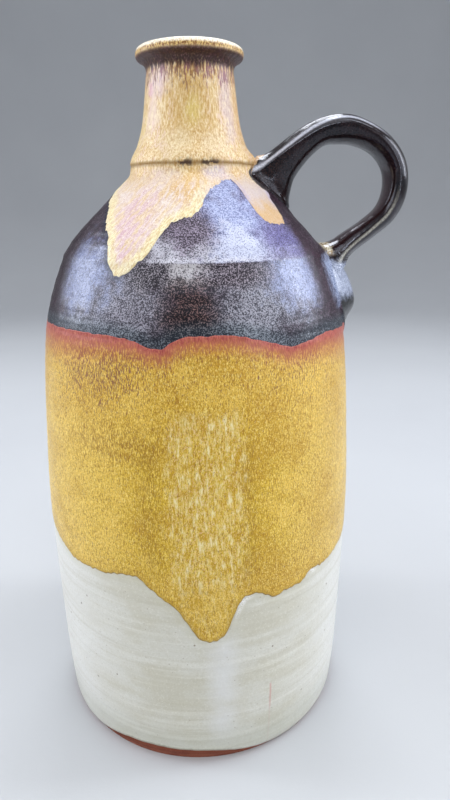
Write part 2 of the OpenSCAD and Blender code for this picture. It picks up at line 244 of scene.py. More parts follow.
def back_runs(az, height, runs):
    middle, half_width, drop = np.array(runs, float).T
    away = (az[:, None] - middle + 180) % 360 - 180
    return height - (drop * np.exp(-np.abs(away / half_width) ** 3)).sum(1)


def edge(front, height, runs, wobble, seed, counts=CALM):
    """Length along the outline of a glaze's lower edge, for every column."""
    across = curve(front, AZIMUTH)
    behind = back_runs(AZIMUTH, height, runs)
    start, end = front[0][0], front[-1][0]
    share = ease(AZIMUTH, end - 4, end + 8) + 1 - ease(AZIMUTH, start - 8, start + 4)
    return length_at(across + share * (behind - across) + waves(AZIMUTH, wobble, seed, counts))


FOOT_EDGE = edge(FOOT_FRONT, FOOT_H, [(150, 30, 1)], 0.35, 3)
AMBER_EDGE = edge(AMBER_FRONT, AMBER_H, AMBER_RUNS, 1.1, 5, RAGGED)
DARK_EDGE = edge(DARK_FRONT, DARK_H, DARK_RUNS, 0.5, 7)
TAN_EDGE = edge(TAN_FRONT, TAN_H, TAN_RUNS, 1.1, 11, RAGGED)
EDGES = (AMBER_EDGE, DARK_EDGE, TAN_EDGE)
COLLAR_START = float(length_at(COLLAR_H - 1))
MOUTH_END = LENGTH[-1]

# How many columns to each side are searched for the nearest point of an edge
EDGE_REACH = 26


def distance(length, edge_line):
    """Signed distance of every grid point from an edge: above it is positive."""
    radius = on_line(SOFT_LINE[:, 0], length)
    least = np.full(length.shape, 1e9)
    for k in range(-EDGE_REACH, EDGE_REACH + 1):
        across = k * 2 * math.pi / COLUMNS * radius
        least = np.minimum(least, across ** 2 + (length - np.roll(edge_line, -k)[None]) ** 2)
    return np.sqrt(least) * np.where(length > edge_line[None], 1, -1)


def rings(length, az):
    """Shallow throwing rings, a little uneven round the jug."""
    sway = 0.6 * np.sin(np.radians(az) + 1) + 0.3 * np.sin(np.radians(2 * az))
    low = np.sin(2 * math.pi * (length + sway) / LOW_RINGS[1] + 0.8 * np.sin(length / 13))
    fine = np.sin(2 * math.pi * (length + 0.7 * sway) / FINE_RINGS[1] + 1.4 * np.sin(length / 9))
    return LOW_RINGS[0] * low + FINE_RINGS[0] * fine


def bulge(x, size, width):
    return size * np.exp(-(x / width) ** 2)


def roll(distance_in, height, start, width):
    """Thick rounded roll along the edge of a coat."""
    return bulge(distance_in - start, height, width) * (distance_in > 0)


def coat(length, az, d):
    """Thickness of the glaze over the clay at every grid point."""
    amber, dark, tan = d
    foot = length - FOOT_EDGE[None]
    start = np.sqrt(np.clip(foot / 1.2, 0, 1) * (2 - np.clip(foot / 1.2, 0, 1)))
    thickness = BASE_COAT * start + roll(foot, *BASE_ROLL)
    thickness += (AMBER_COAT - BASE_COAT) * ease(amber, 0, 1.3) + roll(amber, *AMBER_ROLL)
    run = bulge(az - RUN_AT, RUN_SWELL, RUN_HALF_WIDTH) * ease(length_at(RUN_H) - length, 0, 14)
    thickness += run * ease(amber, 0, 3)
    thickness += (DARK_COAT - AMBER_COAT) * ease(dark, 0, 3)
    return thickness + (TAN_COAT - DARK_COAT) * ease(tan, 0, 4) + roll(tan, *TAN_ROLL)


SEAM_LENGTH = float(length_at(SEAM_H))
NECK_LENGTH = float(length_at(NECK_H - 0.2))


def surface(length):
    """Radius and height of the glazed surface on a grid of lengths, with the distances from the edges."""
    az = np.broadcast_to(AZIMUTH[None], length.shape)
    d = [distance(length, e) for e in EDGES]
    out = coat(length, az, d)
    below_neck = 1 - ease(length, COLLAR_START - 12, COLLAR_START)
    out = out + rings(length, az) * below_neck
    out = out + bulge(length - SEAM_LENGTH, *RIDGE) - bulge(length - NECK_LENGTH, *GROOVE)
    radius = on_line(SOFT_LINE[:, 0], length) + on_line(NORMAL[:, 0], length) * out
    height = on_line(SOFT_LINE[:, 1], length) + on_line(NORMAL[:, 1], length) * out
    return np.minimum(radius, OUTSIDE_R), np.minimum(height, OUTSIDE_H), d


# Meshes

def make_object(name, points, faces, material):
    mesh = bpy.data.meshes.new(name)
    mesh.from_pydata((np.asarray(points) * MM).tolist(), [], faces)
    mesh.update()
    mesh.shade_smooth()
    mesh.materials.append(material)
    made = bpy.data.objects.new(name, mesh)
    bpy.context.scene.collection.objects.link(made)
    return made


def set_vectors(made, name, values):
    attribute = made.data.attributes.new(name, "FLOAT_VECTOR", "POINT")
    attribute.data.foreach_set("vector", np.asarray(values, np.float32).ravel())


def ring_faces(rows, columns, closed_rows):
    """Quads between rows of points that close on themselves, and between the last row and the first."""
    faces = []
    for i in range(rows if closed_rows else rows - 1):
        a, b = i * columns, ((i + 1) % rows) * columns
        for j in range(columns):
            k = (j + 1) % columns
            faces.append((a + j, a + k, b + k, b + j))
    return faces


def turned(radius, height, az):
    a = np.radians(az)
    return np.stack([radius * np.sin(a), -radius * np.cos(a), height], -1)


# Rows that a coat's inner face skips, and how far it sinks into the clay
INNER_STEP, INNER_SINK = 8, 0.05


def inner_face(lengths):
    """Coarser rows back along the clay, which close a coat from behind."""
    back = lengths[::-INNER_STEP]
    if (len(lengths) - 1) % INNER_STEP:
        back = np.concatenate([back, lengths[:1]])
    return turned(on_line(CLAY_LINE[:, 0], back) - INNER_SINK, on_line(CLAY_LINE[:, 1], back), AZIMUTH[None])


def skin(name, node, material, lengths, trees):
    """Closed coat of glaze over a grid of lengths along the outline, in place of its CAD node."""
    radius, height, d = surface(lengths)
    az = np.broadcast_to(AZIMUTH[None], lengths.shape)
    outer, gaps = melted_wall(turned(radius, height, az), trees)
    inner = inner_face(lengths)
    rows = len(lengths) + len(inner)
    points = np.concatenate([outer, inner]).reshape(-1, 3)
    made = make_object(name, points, ring_faces(rows, COLUMNS, True), material)
    place = np.stack([height, np.broadcast_to(FOOT_EDGE[None], lengths.shape), gaps], -1)
    flow = turned(BELLY_R, lengths, az)
    for attribute, values in (("flow", flow), ("edges", np.stack(d, -1)), ("place", place)):
        filled = np.zeros((rows * COLUMNS, 3))
        filled[:lengths.size] = values.reshape(-1, 3)
        set_vectors(made, attribute, filled)
    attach(made, "root")
    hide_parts(node)


def spread(low, high, rows):
    """Grid of lengths from one edge up to another, closer together near both."""
    t = np.linspace(0, 1, rows)
    t = t - 0.11 * np.sin(2 * math.pi * t)
    low = np.broadcast_to(low, (COLUMNS,))
    high = np.broadcast_to(high, (COLUMNS,))
    return low[None] + (high - low)[None] * t[:, None]


# Handle

# Down the strap, out to its bend and back to its foot: shares of reach, height, width and thickness, and
# how much of the thickness lies outside the curve
STRAP_OUT = [
    (-0.1, 0.5, 1.3, 3.1, 0.19), (0.05, 0.58, 1.28, 2.3, 0.12), (0.2, 0.78, 1.17, 1.34, 0.27),
    (0.42, 0.96, 1.04, 0.96, 0.44), (0.61, 1, 1, 1, 0.4), (0.78, 0.96, 1, 0.87, 0.44),
    (0.91, 0.88, 1, 0.82, 0.54), (0.99, 0.76, 0.98, 0.81, 0.61), (1, 0.61, 0.94, 0.81, 0.64),
]
STRAP_BACK = [
    (0.86, 0.48, 0.89, 0.78, 0.61), (0.57, 0.38, 0.86, 0.75, 0.53), (0.28, 0.3, 0.88, 0.8, 0.45),
    (0.06, 0.23, 1, 0.84, 0.38), (-0.07, 0.15, 1.15, 0.84, 0.33), (-0.09, -0.03, 1.3, 0.8, 0.38),
]
STRAP_SPAN_STEPS = 14
STRAP_SIDES = 120
# Depth in the wall where the hidden ends of handle and pad stop
SEAT_DEPTH = 4


def strap_places():
    """Rows of the strap's shares as sizes."""
    rows = []
    for shares, start in ((STRAP_OUT, COLLAR_R), (STRAP_BACK, float(clay_r(HANDLE_FOOT)))):
        for reach, height, width, thickness, outside in shares:
            out = start + reach * (HANDLE_REACH - start)
            up = HANDLE_FOOT + height * (HANDLE_TOP - HANDLE_FOOT)
            rows.append((out, up, STRAP_W * width, STRAP_T * thickness, outside))
    return np.array(rows)


def smooth_rows(rows, steps):
    """Smooth line through rows of values."""
    out = []
    for i in range(len(rows) - 1):
        a, b, c, d = rows[max(i - 1, 0)], rows[i], rows[i + 1], rows[min(i + 2, len(rows) - 1)]
        for k in range(steps):
            t = k / steps
            out.append(0.5 * (2 * b + (c - a) * t + (2 * a - 5 * b + 4 * c - d) * t ** 2
                              + (3 * b - a - 3 * c + d) * t ** 3))
    out.append(rows[-1])
    return np.array(out)


def wall_slope(h):
    """Growth of the clay's radius with height."""
    return clay_r(np.clip(h + 0.5, 0, THROAT_H)) - clay_r(np.maximum(h - 0.5, 0))


def depth_in_wall(points):
    """How far points lie inside the outside of the clay, and outside it where negative."""
    radius = np.hypot(points[..., 0], points[..., 1])
    h = points[..., 2]
    return (clay_r(np.clip(h, 0, THROAT_H)) - radius) / np.sqrt(1 + wall_slope(h) ** 2)


def held_in_wall(points):
    """Points that lie deep inside the wall come out to the seat depth."""
    radius = np.hypot(points[..., 0], points[..., 1])
    depth = depth_in_wall(points)
    push = np.maximum(depth - SEAT_DEPTH, 0) * 1.3
    scale = (radius + push) / np.maximum(radius, 1e-6)
    out = points.copy()
    out[..., :2] *= scale[..., None]
    return out


# Ridges of the strap (height, half width, and angle from the middle) and its groove (depth, half width)
STRAP_RIDGE, STRAP_RIDGE_AT, STRAP_GROOVE = (0.35, 0.24), 0.45, (0.45, 0.3)


def thumbed(a):
    """Two low ridges with a groove between them along the outer side of the strap."""
    b = a - math.pi / 2
    ridges = bulge(b + STRAP_RIDGE_AT, *STRAP_RIDGE) + bulge(b - STRAP_RIDGE_AT, *STRAP_RIDGE)
    return ridges - bulge(b, *STRAP_GROOVE)


def strap_mesh():
    """Points of the strap in rings along its curve, and the step of each ring."""
    rows = smooth_rows(strap_places(), STRAP_SPAN_STEPS)
    path = rows[:, :2]
    along = np.gradient(path, axis=0)
    along /= np.hypot(*along.T)[:, None]
    out = np.stack([-along[:, 1], along[:, 0]], -1)
    a = np.linspace(0, 2 * math.pi, STRAP_SIDES, endpoint=False)[None]
    thickness, share = rows[:, 3:4], rows[:, 4:5]
    middle = thickness / 2 - thickness * share
    depth = middle + thickness * np.sin(a) * np.where(np.sin(a) > 0, share, 1 - share)
    across = rows[:, 2:3] / 2 * np.cos(a)
    step = np.arange(len(rows))[:, None] / STRAP_SPAN_STEPS
    pulled = 0.12 * np.sin(3 * a + 0.9 * step) + 0.1 * np.sin(5 * a - 0.7 * step + 1)
    across = across * (1 + pulled * 0.05)
    depth = depth + pulled * 0.8 * np.sin(a) + thumbed(a)
    x, h = (path[:, k:k + 1] + depth * out[:, k:k + 1] for k in (0, 1))
    return np.stack([x, across, h], -1), step


def closed_piece(name, points, material, inside_out=False):
    """Closed loft over rings of points, with fans at both ends."""
    rows, sides = points.shape[:2]
    faces = ring_faces(rows, sides, False)
    start, end = rows * sides, rows * sides + 1
    all_points = np.concatenate([points.reshape(-1, 3), [points[0].mean(0)], [points[-1].mean(0)]])
    for j in range(sides):
        k = (j + 1) % sides
        faces.append((start, k, j))
        faces.append((end, (rows - 1) * sides + j, (rows - 1) * sides + k))
    if inside_out:
        faces = [face[::-1] for face in faces]
    made = make_object(name, all_points, faces, material)
    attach(made, "root")
    return made


def set_place(made, *values):
    shape = np.broadcast_shapes(*(np.shape(v) for v in values))
    place = np.stack([np.broadcast_to(v, shape) for v in values], -1).reshape(-1, 3)
    set_vectors(made, "place", np.concatenate([place, np.zeros((2, 3))]))


# Down the pad: shares of its length, thickness and width
PAD_SHARES = [
    (0, 0.2, 0.6), (0.06, 0.45, 0.74), (0.15, 0.76, 0.88), (0.24, 0.92, 0.95), (0.34, 0.98, 1),
    (0.45, 1, 1), (0.56, 0.97, 0.97), (0.66, 0.86, 0.9), (0.74, 0.68, 0.8), (0.82, 0.43, 0.68),
    (0.9, 0.24, 0.52), (1, 0.06, 0.3),
]
PAD_SIDES = 96
PAD_SPAN_STEPS = 8
# How widely the clay of handle, pad and wall is smoothed together, and where more so
MELT_REACH, MELT_ROOT, MELT_NOTCH = 6, 4, 4.5
ROOT_TOP_H, FOOT_NOTCH_H = NECK_H + 3, SEAM_H + 4
MELT_ROUNDS = 8
# Distance beyond which a surface counts as far, and the stretch of wall that is near the handle
FAR = 12
NEAR_Y, NEAR_LOW, NEAR_TOP = 34, PAD_TOP - PAD_LEN - 9, ROOT_TOP_H + 14


def pad_mesh():
    """Points of the pad in rings from its lower end up."""
    rows = smooth_rows(np.array(PAD_SHARES), PAD_SPAN_STEPS)
    h = PAD_TOP - rows[:, 0:1] * PAD_LEN
    middle = clay_r(h) - SEAT_DEPTH
    a = np.linspace(0, 2 * math.pi, PAD_SIDES, endpoint=False)[None]
    dents = 0.25 * np.sin(2 * a + h / 6) + 0.2 * np.sin(3 * a - h / 5)
    # The clay thins out to its sides, which follow the round of the wall
    y = PAD_SPREAD * rows[:, 2:3] / 2 * np.sin(a) + 0.5 * dents
    swell = np.sign(np.cos(a)) * np.abs(np.cos(a)) ** 1.5
    round_off = middle - np.sqrt(np.clip(middle ** 2 - y ** 2, 0, None))
    x = middle + (SEAT_DEPTH + PAD_T * rows[:, 1:2]) * swell + dents - round_off
    return np.stack([x, y, np.broadcast_to(h, x.shape)], -1)[::-1]


def wall_normals(points):
    """Outward normals of the wall at the heights of the points."""
    radius = np.hypot(points[..., 0], points[..., 1])
    slope = wall_slope(points[..., 2])
    made = np.stack([points[..., 0] / radius, points[..., 1] / radius, -slope], -1)
    return made / np.sqrt(1 + slope ** 2)[..., None]


def melt_reach(points):
    """How widely the clay is smoothed on: most at the top of the root and in the notch at the foot."""
    h = points[..., 2]
    reach = MELT_REACH + MELT_ROOT * np.exp(-((h - ROOT_TOP_H) / 7) ** 2)
    return reach + MELT_NOTCH * np.exp(-((h - FOOT_NOTCH_H + 2) / 8) ** 2)


def melted(points, normals, gap, other_normals):
    """Points moved out along their normals, so that their surface runs smoothly into another."""
    reach = melt_reach(points)
    facing = np.sum(normals * other_normals, -1)
    move = np.zeros_like(gap)
    for _ in range(MELT_ROUNDS):
        move = reach / 4 * np.clip(1 - np.abs(gap + move * (facing - 1)) / reach, 0, 1) ** 2
    return points + normals * move[..., None]


def tree_of(points, inside_out=False, outside_only=False):
    faces = ring_faces(*points.shape[:2], False)
    if inside_out:
        faces = [face[::-1] for face in faces]
    if outside_only:
        shown = (depth_in_wall(points) < -0.5).ravel()
        faces = [face for face in faces if all(shown[i] for i in face)]
    return BVHTree.FromPolygons([Vector(p) for p in points.reshape(-1, 3)], faces)


def nearest(points, tree):
    """Signed distance from each point to a surface, and the normal of the surface there."""
    flat = points.reshape(-1, 3)
    gaps, normals = np.full(len(flat), FAR), np.zeros((len(flat), 3))
    for i, point in enumerate(flat):
        place, normal, _, away = tree.find_nearest(Vector(point), FAR)
        if place is not None:
            gaps[i] = math.copysign(away, (Vector(point) - place).dot(normal))
            normals[i] = normal
    return gaps.reshape(points.shape[:-1]), normals.reshape(points.shape)


def melted_wall(points, trees):
    """Wall of the jug, raised where strap and pad are smoothed on to it, and its gap to the strap."""
    x, y, h = np.moveaxis(points, -1, 0)
    near = (x > 0) & (np.abs(y) < NEAR_Y) & (h > NEAR_LOW) & (h < NEAR_TOP)
    some = points[near]
    gaps = np.full(points.shape[:-1], float(FAR))
    gaps[near] = np.abs(nearest(some, trees[2])[0])
    for tree in trees[:2]:
        gap, normals = nearest(some, tree)
        some = melted(some, wall_normals(some), gap, normals)
    out = points.copy()
    out[near] = some
    return out, gaps


def outward(points):
    """Unit normals of a loft, pointing out of it."""
    around = np.roll(points, -1, 1) - np.roll(points, 1, 1)
    normals = np.cross(around, np.gradient(points, axis=0))
    normals /= np.linalg.norm(normals, axis=-1, keepdims=True) + 1e-9
    away = points - points.mean(1, keepdims=True)
    return normals if np.sum(normals * away) > 0 else -normals


def melted_loft(points, tree):
    """Loft smoothed on to the wall and to another loft."""
    own = outward(points)
    out = melted(points, own, -depth_in_wall(points) - DARK_COAT, wall_normals(points))
    gap, normals = nearest(out, tree)
    out = melted(out, own, gap, normals)
    return held_in_wall(out)


def make_handle_and_pad(material):
    """Strap and pad as two closed pieces; gives back their surfaces and that of the open strap."""
    strap, step = strap_mesh()
    pad = pad_mesh()
    trees = tree_of(strap, True), tree_of(pad), tree_of(strap, True, True)
    joined = melted_loft(strap, trees[1])
    made = closed_piece("pulled_handle", joined, material, inside_out=True)
    set_place(made, step, np.linspace(0, 1, STRAP_SIDES, endpoint=False)[None], -depth_in_wall(joined))
    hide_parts("handle")
    pad = melted_loft(pad, trees[0])
    made = closed_piece("thumbed_pad", pad, material)
    # The pad counts as the strap's far end in the colours
    set_place(made, len(STRAP_OUT) + len(STRAP_BACK) - 1.0, 0.25, -depth_in_wall(pad))
    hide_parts("handle_pad")
    return trees


# Materials

def colour(r, g, b):
    """Linear colour of an 8-bit screen colour."""
    def linear(v):
        v = v / 255
        return v / 12.92 if v <= 0.04045 else ((v + 0.055) / 1.055) ** 2.4
    return (linear(r), linear(g), linear(b), 1)


class Graph:
    """A node material, written as calls that return sockets, with a base colour built up in layers."""

    def __init__(self, name):
        self.material = bpy.data.materials.new(name)
        self.material.use_nodes = True
        self.tree = self.material.node_tree
        self.tree.nodes.clear()
        self.output = self.tree.nodes.new("ShaderNodeOutputMaterial")
        self.base = None

    def put(self, socket, value):
        if isinstance(value, bpy.types.NodeSocket):
            self.tree.links.new(value, socket)
        else:
            socket.default_value = value

    def node(self, kind, inputs=(), **settings):
        made = self.tree.nodes.new(kind)
        for key, value in settings.items():
            setattr(made, key, value)
        for key, value in dict(inputs).items():
            self.put(made.inputs[key], value)
        return made

    def math(self, operation, a, b=0.0, clamp=False):
        made = self.node("ShaderNodeMath", {0: a, 1: b}, operation=operation)
        made.use_clamp = clamp
        return made.outputs[0]

    def add(self, a, b):
        return self.math("ADD", a, b)

    def less(self, a, b):
        return self.math("SUBTRACT", a, b)

    def away(self, a, b):
        return self.math("ABSOLUTE", self.less(a, b))

    def share(self, value):
        """A number or socket as it is; (value, low, high) as 0 at low, easing to 1 at high."""
        return self.ease(*value) if isinstance(value, tuple) else value

    def times(self, *factors):
        total, *rest = [self.share(factor) for factor in factors]
        for factor in rest:
            total = self.math("MULTIPLY", total, factor)
        return total

    def inverse(self, a):
        return self.less(1.0, a)

    def ease(self, value, low, high, start=0.0, end=1.0):
        made = self.node("ShaderNodeMapRange", {0: value, 1: low, 2: high, 3: start, 4: end})
        made.interpolation_type = "SMOOTHSTEP"
        made.clamp = True
        return made.outputs[0]

    def peak(self, value, middle, width):
        """1 at the middle, falling to 0 at a width away."""
        return self.ease(self.away(value, middle), 0.0, width, 1.0, 0.0)

    def mix(self, share, a, b):
        """Two colours mixed, each a socket or an 8-bit screen colour."""
        made = self.node("ShaderNodeMix", data_type="RGBA")
        self.put(made.inputs[0], self.share(share))
        for socket, tone in ((made.inputs[6], a), (made.inputs[7], b)):
            self.put(socket, colour(*tone) if isinstance(tone, tuple) else tone)
        return made.outputs[2]

    def over(self, tone, *shares):
        """Lays a tone over the base colour, by the product of the shares."""
        self.base = self.mix(self.times(*shares), self.base, tone)

    def attribute(self, name):
        return self.node("ShaderNodeAttribute", attribute_name=name).outputs["Vector"]

    def split(self, vector):
        made = self.node("ShaderNodeSeparateXYZ", {0: vector})
        return made.outputs[0], made.outputs[1], made.outputs[2]

    def millimetres(self):
        place = self.node("ShaderNodeTexCoord").outputs["Object"]
        return self.node("ShaderNodeVectorMath", {0: place, "Scale": 1 / MM}, operation="SCALE").outputs[0]

    def noise(self, vector, scale=1.0, detail=2.0, rough=0.5):
        made = self.node("ShaderNodeTexNoise", {
            "Vector": vector, "Scale": scale, "Detail": detail, "Roughness": rough})
        return made.outputs["Fac"]

    def streaks(self, vector, across, along, shift=0.0, detail=2.0, rough=0.5):
        """Noise with its own counts per millimetre across and along the flow of the glaze."""
        sizes, offset = (across, across, along), (shift, -shift, 0.7 * shift)
        moved = self.node("ShaderNodeVectorMath", {0: vector, 1: sizes, 2: offset}, operation="MULTIPLY_ADD")
        return self.noise(moved.outputs[0], 1.0, detail, rough)

    def cells(self, vector, scale):
        made = self.node("ShaderNodeTexVoronoi", {"Vector": vector, "Scale": scale})
        return made.outputs["Distance"], made.outputs["Color"]

    def bump(self, height, size, strength=1.0, under=None):
        inputs = {"Height": height, "Strength": strength, "Distance": size * MM}
        if under is not None:
            inputs["Normal"] = under
        return self.node("ShaderNodeBump", inputs).outputs[0]

    def finish(self, rough, normal, level=0.5, ior=1.5, tint=(1, 1, 1, 1)):
        shader = self.node("ShaderNodeBsdfPrincipled", {
            "Base Color": self.base, "Roughness": rough, "Specular IOR Level": level, "IOR": ior,
            "Specular Tint": tint, "Normal": normal})
        self.put(self.output.inputs[0], shader.outputs[0])
        return self.material


class GlazeFields:
    """Where a point of the glaze lies: azimuth, height, flow space, and distances from the edges."""

    def __init__(self, g):
        self.g = g
        self.flow = g.attribute("flow")
        self.real = g.millimetres()
        x, y, _ = g.split(self.real)
        self.az = g.times(g.math("ARCTAN2", x, g.times(y, -1.0)), 180 / math.pi)
        self.around = g.math("ABSOLUTE", self.az)
        self.h, self.foot, self.strap = g.split(g.attribute("place"))
        self.amber, self.dark, self.tan = g.split(g.attribute("edges"))
        # Uneven distance, in millimetres, that frays every change of colour
        self.fray = g.times(g.less(g.streaks(self.flow, 0.5, 0.25, 0, 3.0, 0.65), 0.5), 6.0)
        self.sway = g.less(g.streaks(self.real, 0.16, 0.14, 11, 4.0, 0.6), 0.5)

    def frayed(self, value, share):
        return self.g.add(value, self.g.times(self.fray, share))

    def swayed(self, value, share):
        return self.g.add(value, self.g.times(self.sway, share))

    def zone(self, az, half_az, h, half_h):
        """1 inside a soft, uneven patch of the wall, falling to 0 at its edge."""
        g = self.g
        across = g.times(g.less(self.az, az), 1 / half_az)
        up = g.times(g.less(self.h, h), 1 / half_h)
        away = g.math("SQRT", g.add(g.times(across, across), g.times(up, up)))
        return g.ease(self.swayed(away, 1.8), 1.2, 0.35)


# Iron specks of the pale glaze: cells per millimetre, size, size of the core, which colour channel picks
# them, how rare they are, how strong, and their colour
SPECKS = [
    (0.12, 0.085, 0.04, 0, 0.4, 0.8, (112, 88, 60)),
    (0.3, 0.12, 0.06, 1, 0.55, 0.55, (140, 124, 96)),
]


def base_colours(g, f):
    """Pale grey-cream glaze with soft rings, cloudy patches and fine specks, flanks painted lighter as side
    light, and a painted reflection down the front.
    """
    cloud = g.streaks(f.flow, 0.035, 0.06, 0, 3.0, 0.6)
    ring = g.streaks(f.flow, 0.01, 0.4, 3, 3.0, 0.6)
    fine = g.streaks(f.flow, 1.1, 1.1, 5, 3.0, 0.7)
    # Painted light: the flanks turn lighter, as lit by the side lights, less so round the back.
    side = g.times((g.away(f.az, 4), 22, 62), (f.around, 105, 75, 0.3, 1.0))
    g.base = g.mix((cloud, 0.35, 0.65), (204, 200, 182), (214, 212, 200))
    g.over((238, 238, 236), side, 0.65)
    g.over((236, 234, 224), (ring, 0.52, 0.66), 0.3)
    g.over((190, 184, 160), (ring, 0.48, 0.34), 0.25)
    g.over((190, 183, 158), (fine, 0.5, 0.7), 0.35)
    g.over((240, 238, 228), (fine, 0.45, 0.3), 0.4)
    # Painted reflection: a pale upright band down the front, under the amber's middle run.
    painted_reflection_band = g.times(g.peak(f.az, 6.5, 8), (f.h, 10, 24), (f.h, 84, 66))
    g.over((229, 229, 228), painted_reflection_band, (cloud, 0.3, 0.6, 0.3, 0.6))
    for scale, size, core, channel, rare, strength, tone in SPECKS:
        from_speck, pick = g.cells(f.flow, scale)
        chosen = g.ease(g.split(pick)[channel], rare, rare + 0.02)
        g.over(tone, (from_speck, size, core), chosen, strength)
    g.over((206, 120, 116), g.peak(f.az, 24.2, 0.6), (f.h, 24, 32, 0.12, 0.5), (f.h, 43, 41))
    g.over((182, 184, 168), (f.h, 30, 8, 0.0, 0.4))
    g.over((200, 194, 166), (f.amber, -5, -1, 0.0, 0.25))
    crawl = g.times((f.amber, -3.4, -0.8), g.add(g.peak(f.az, 13.5, 4.5), g.peak(f.az, 42, 3)))
    g.over((248, 246, 240), crawl, (fine, 0.42, 0.52))
    g.over((132, 118, 98), (f.frayed(g.less(f.h, f.foot), 0.3), 1.6, 0.2, 0.0, 0.6))


def crystal_and_reflection_colours(g, f, away, fleck):
    """Pale short streaks down the middle run: crystals, over a band that is partly a painted reflection."""
    # The middle band is partly a painted reflection of a bright band in front of the jug.
    middle = g.times((f.swayed(away, 14.0), 14, 9.5), (f.h, 184, 176))
    crystals_and_reflection = g.times(middle, (f.h, 96, 112, 0.3, 1.0))
    stroke = g.streaks(f.flow, 1.1, 0.24, 3, 4.0, 0.75)
    curl = g.streaks(f.flow, 0.5, 0.16, 8, 3.0, 0.7)
    lines = g.add(g.times(stroke, 0.55), g.times(curl, 0.45))
    g.over((230, 206, 116), (lines, 0.455, 0.54), crystals_and_reflection, 0.55)
    g.over((246, 236, 186), (lines, 0.53, 0.6), crystals_and_reflection, 0.7)
    g.over((192, 148, 18), (curl, 0.46, 0.37), middle, 0.6)
    g.over((230, 186, 166), (fleck, 0.55, 0.62), crystals_and_reflection, 0.35)


def amber_top_colours(g, f, grain, fleck):
    """Purple-brown specks under the dark glaze, the coral band along it, and the rim of the lower edge."""
    spot = g.streaks(f.flow, 2.1, 0.55, 6, 2.0, 0.6)
    above = g.ease(f.swayed(f.h, 40.0), 168, 200)
    sides = g.add(g.add(g.peak(f.az, -34, 36), g.times(g.peak(f.az, 36, 30), 0.5)), 0.2)
    share = g.math("MULTIPLY", sides, above, clamp=True)
    spots = g.ease(g.less(g.add(spot, g.times(share, 0.17)), 0.66), 0.0, 0.05)
    g.over((122, 72, 66), spots, 0.78)
    below = g.less(g.times(f.fray, 0.7), f.dark)
    fade = g.math("DIVIDE", below, g.ease(g.away(f.az, 6), 18, 60, 0.85, 1.5))
    tinge = g.ease(fade, 16, 2)
    mottle = g.ease(g.add(spot, g.times(tinge, 0.16)), 0.57, 0.66)
    g.over((136, 78, 70), mottle, tinge, 0.75)
    g.over((196, 112, 78), (fade, 12, 1), 0.6)
    coral = g.mix((grain, 0.42, 0.6), (150, 60, 62), (190, 102, 94))
    g.over(coral, (fade, 5.4, 0.4), (fleck, 0.38, 0.52, 0.5, 0.95))
    g.over((176, 138, 48), (f.amber, 3.6, 0.8), 0.4)
    g.over((124, 98, 44), (f.amber, 1.0, 0.3), 0.6)


def amber_colours(g, f):
    """Amber glaze: fine upright grain, purple-brown specks above, pale streaks down the middle run that are
    partly a painted reflection, with painted shade along its edges.
    """
    grain = g.streaks(f.flow, 2.2, 0.5, 1, 3.0, 0.7)
    fleck = g.streaks(f.flow, 2.2, 1.3, 9, 2.0, 0.6)
    cloud = g.streaks(f.flow, 0.05, 0.05, 4, 3.0, 0.55)
    away = g.away(f.az, 2.0)
    g.base = g.mix((away, 12, 52), (210, 170, 36), (234, 196, 90))
    g.over((206, 168, 80), (f.az, 16, 46, 0.0, 0.5), (f.az, 120, 80))
    g.over((214, 166, 80), (f.h, 150, 205, 0.0, 0.5))
    g.over((212, 170, 64), (f.h, 112, 104), 0.5)
    g.over((166, 116, 26), (grain, 0.49, 0.37), 0.85)
    g.over((250, 222, 112), (grain, 0.53, 0.65), 0.7)
    g.over((244, 206, 100), (cloud, 0.52, 0.66), 0.35)
    g.over((186, 138, 28), (cloud, 0.48, 0.34), 0.35)
    g.over((252, 238, 158), (fleck, 0.56, 0.64), 0.5)
    g.over((134, 92, 26), (fleck, 0.44, 0.36), 0.6)
    g.over((140, 92, 34), f.zone(-26, 20, 167, 10), (grain, 0.58, 0.42), 0.5)
    # Painted shade: darker olive strips along both edges of the band painted as a reflection.
    band_edge_shade = g.add(g.peak(f.az, -16, 6), g.peak(f.az, 15, 5))
    band_edge_shade = g.times(band_edge_shade, (f.h, 178, 160), (f.amber, 2, 14))
    g.over((150, 112, 20), band_edge_shade, (grain, 0.62, 0.42), 0.45)
    crystal_and_reflection_colours(g, f, away, fleck)
    amber_top_colours(g, f, grain, fleck)


